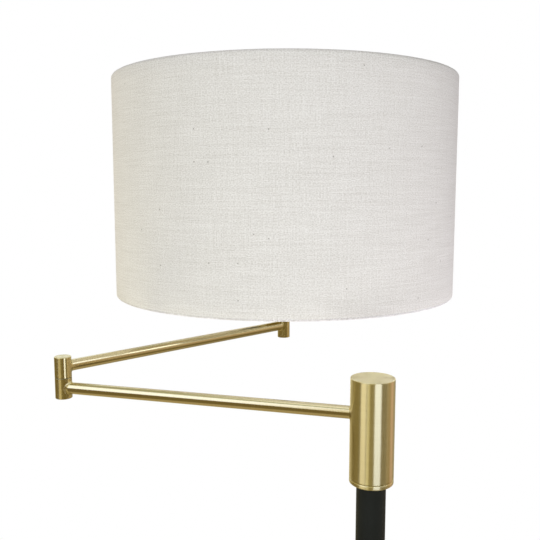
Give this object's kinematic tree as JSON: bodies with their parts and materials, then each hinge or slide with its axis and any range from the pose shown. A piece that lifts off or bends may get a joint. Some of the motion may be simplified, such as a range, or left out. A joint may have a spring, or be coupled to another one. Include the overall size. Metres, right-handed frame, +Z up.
{
  "type": "swing-arm floor lamp",
  "caption": "Floor lamp with a weighted round base, slim black pole, turning brass head, jointed brass swing arm and linen drum shade.",
  "frame": {"origin": "middle of the round base, on the floor", "axes": "+Z up along the pole, +X to the right of the pictured front, +Y away from the viewer to the back"},
  "size_m": [0.4269, 0.6161, 1.5275],
  "materials": {
    "felt": "matte",
    "satin_black": "satin",
    "cast_iron": "matte",
    "zinc_steel": "satin",
    "black_nylon": "matte",
    "satin_brass": "satin",
    "raw_brass": "satin",
    "white_nylon": "satin",
    "black_phenolic": "satin",
    "white_wire": "satin",
    "shade_backing": "satin",
    "linen": "matte",
    "bulb_aluminium": "satin",
    "bulb_glass": "satin"
  },
  "bodies": {
    "stand": {"floor_pad": "felt", "base_cover": "satin_black", "base_weight": "cast_iron", "base_washer": "zinc_steel", "base_nut": "zinc_steel", "base_rod": "zinc_steel", "base_collar": "satin_black", "cord_inlet_bush": "black_nylon", "pole_lower": "satin_black", "pole_middle": "satin_black", "pole_upper": "satin_black", "pole_end_plugs": "zinc_steel", "pole_nipples": "zinc_steel", "swivel_collar": "satin_brass", "swivel_spindle": "zinc_steel", "swivel_spring_washer": "zinc_steel", "swivel_nut": "zinc_steel"},
    "lower_arm": {"head_barrel": "satin_brass", "head_hub": "raw_brass", "head_bush_lower": "white_nylon", "head_bush_upper": "white_nylon", "head_arm_block": "raw_brass", "lower_arm_tube": "satin_brass", "elbow_lower_knuckle": "satin_brass", "elbow_bottom_cap": "satin_brass", "elbow_washer": "black_nylon", "elbow_pin": "zinc_steel", "elbow_nut": "zinc_steel"},
    "upper_arm": {"elbow_upper_knuckle": "satin_brass", "elbow_top_cap": "satin_brass", "upper_arm_tube": "satin_brass", "lamp_knuckle": "satin_brass", "socket_stem": "zinc_steel", "socket_cup": "satin_brass", "socket_body": "black_phenolic", "socket_screw_shell": "raw_brass", "socket_contact": "raw_brass", "shade_fitter": "white_wire", "shade_clamp_ring": "black_phenolic", "shade_spokes": "white_wire", "shade_bottom_ring": "white_wire", "shade_top_ring": "white_wire", "shade_liner": "shade_backing", "shade_fabric": "linen", "bulb_cap": "bulb_aluminium", "bulb_globe": "bulb_glass"},
    "switch": {"switch_shaft": "raw_brass", "switch_knob": "satin_brass"}
  },
  "joints": [
    {"name": "head_swivel", "type": "hinge", "parent": "stand", "child": "lower_arm", "pos_m": [0, 0, 1.21], "axis": [0, 0, 1], "range_deg": [-170, 170]},
    {"name": "elbow_swivel", "type": "hinge", "parent": "lower_arm", "child": "upper_arm", "pos_m": [-0.28567, 0.07976, 1.22], "axis": [0, 0, 1], "range_deg": [-48.9, 291.1]},
    {"name": "switch_turn", "type": "hinge", "parent": "upper_arm", "child": "switch", "pos_m": [-0.06982, 0.28318, 1.27955], "axis": [0.6858, -0.7278, 0], "continuous": true}
  ]
}
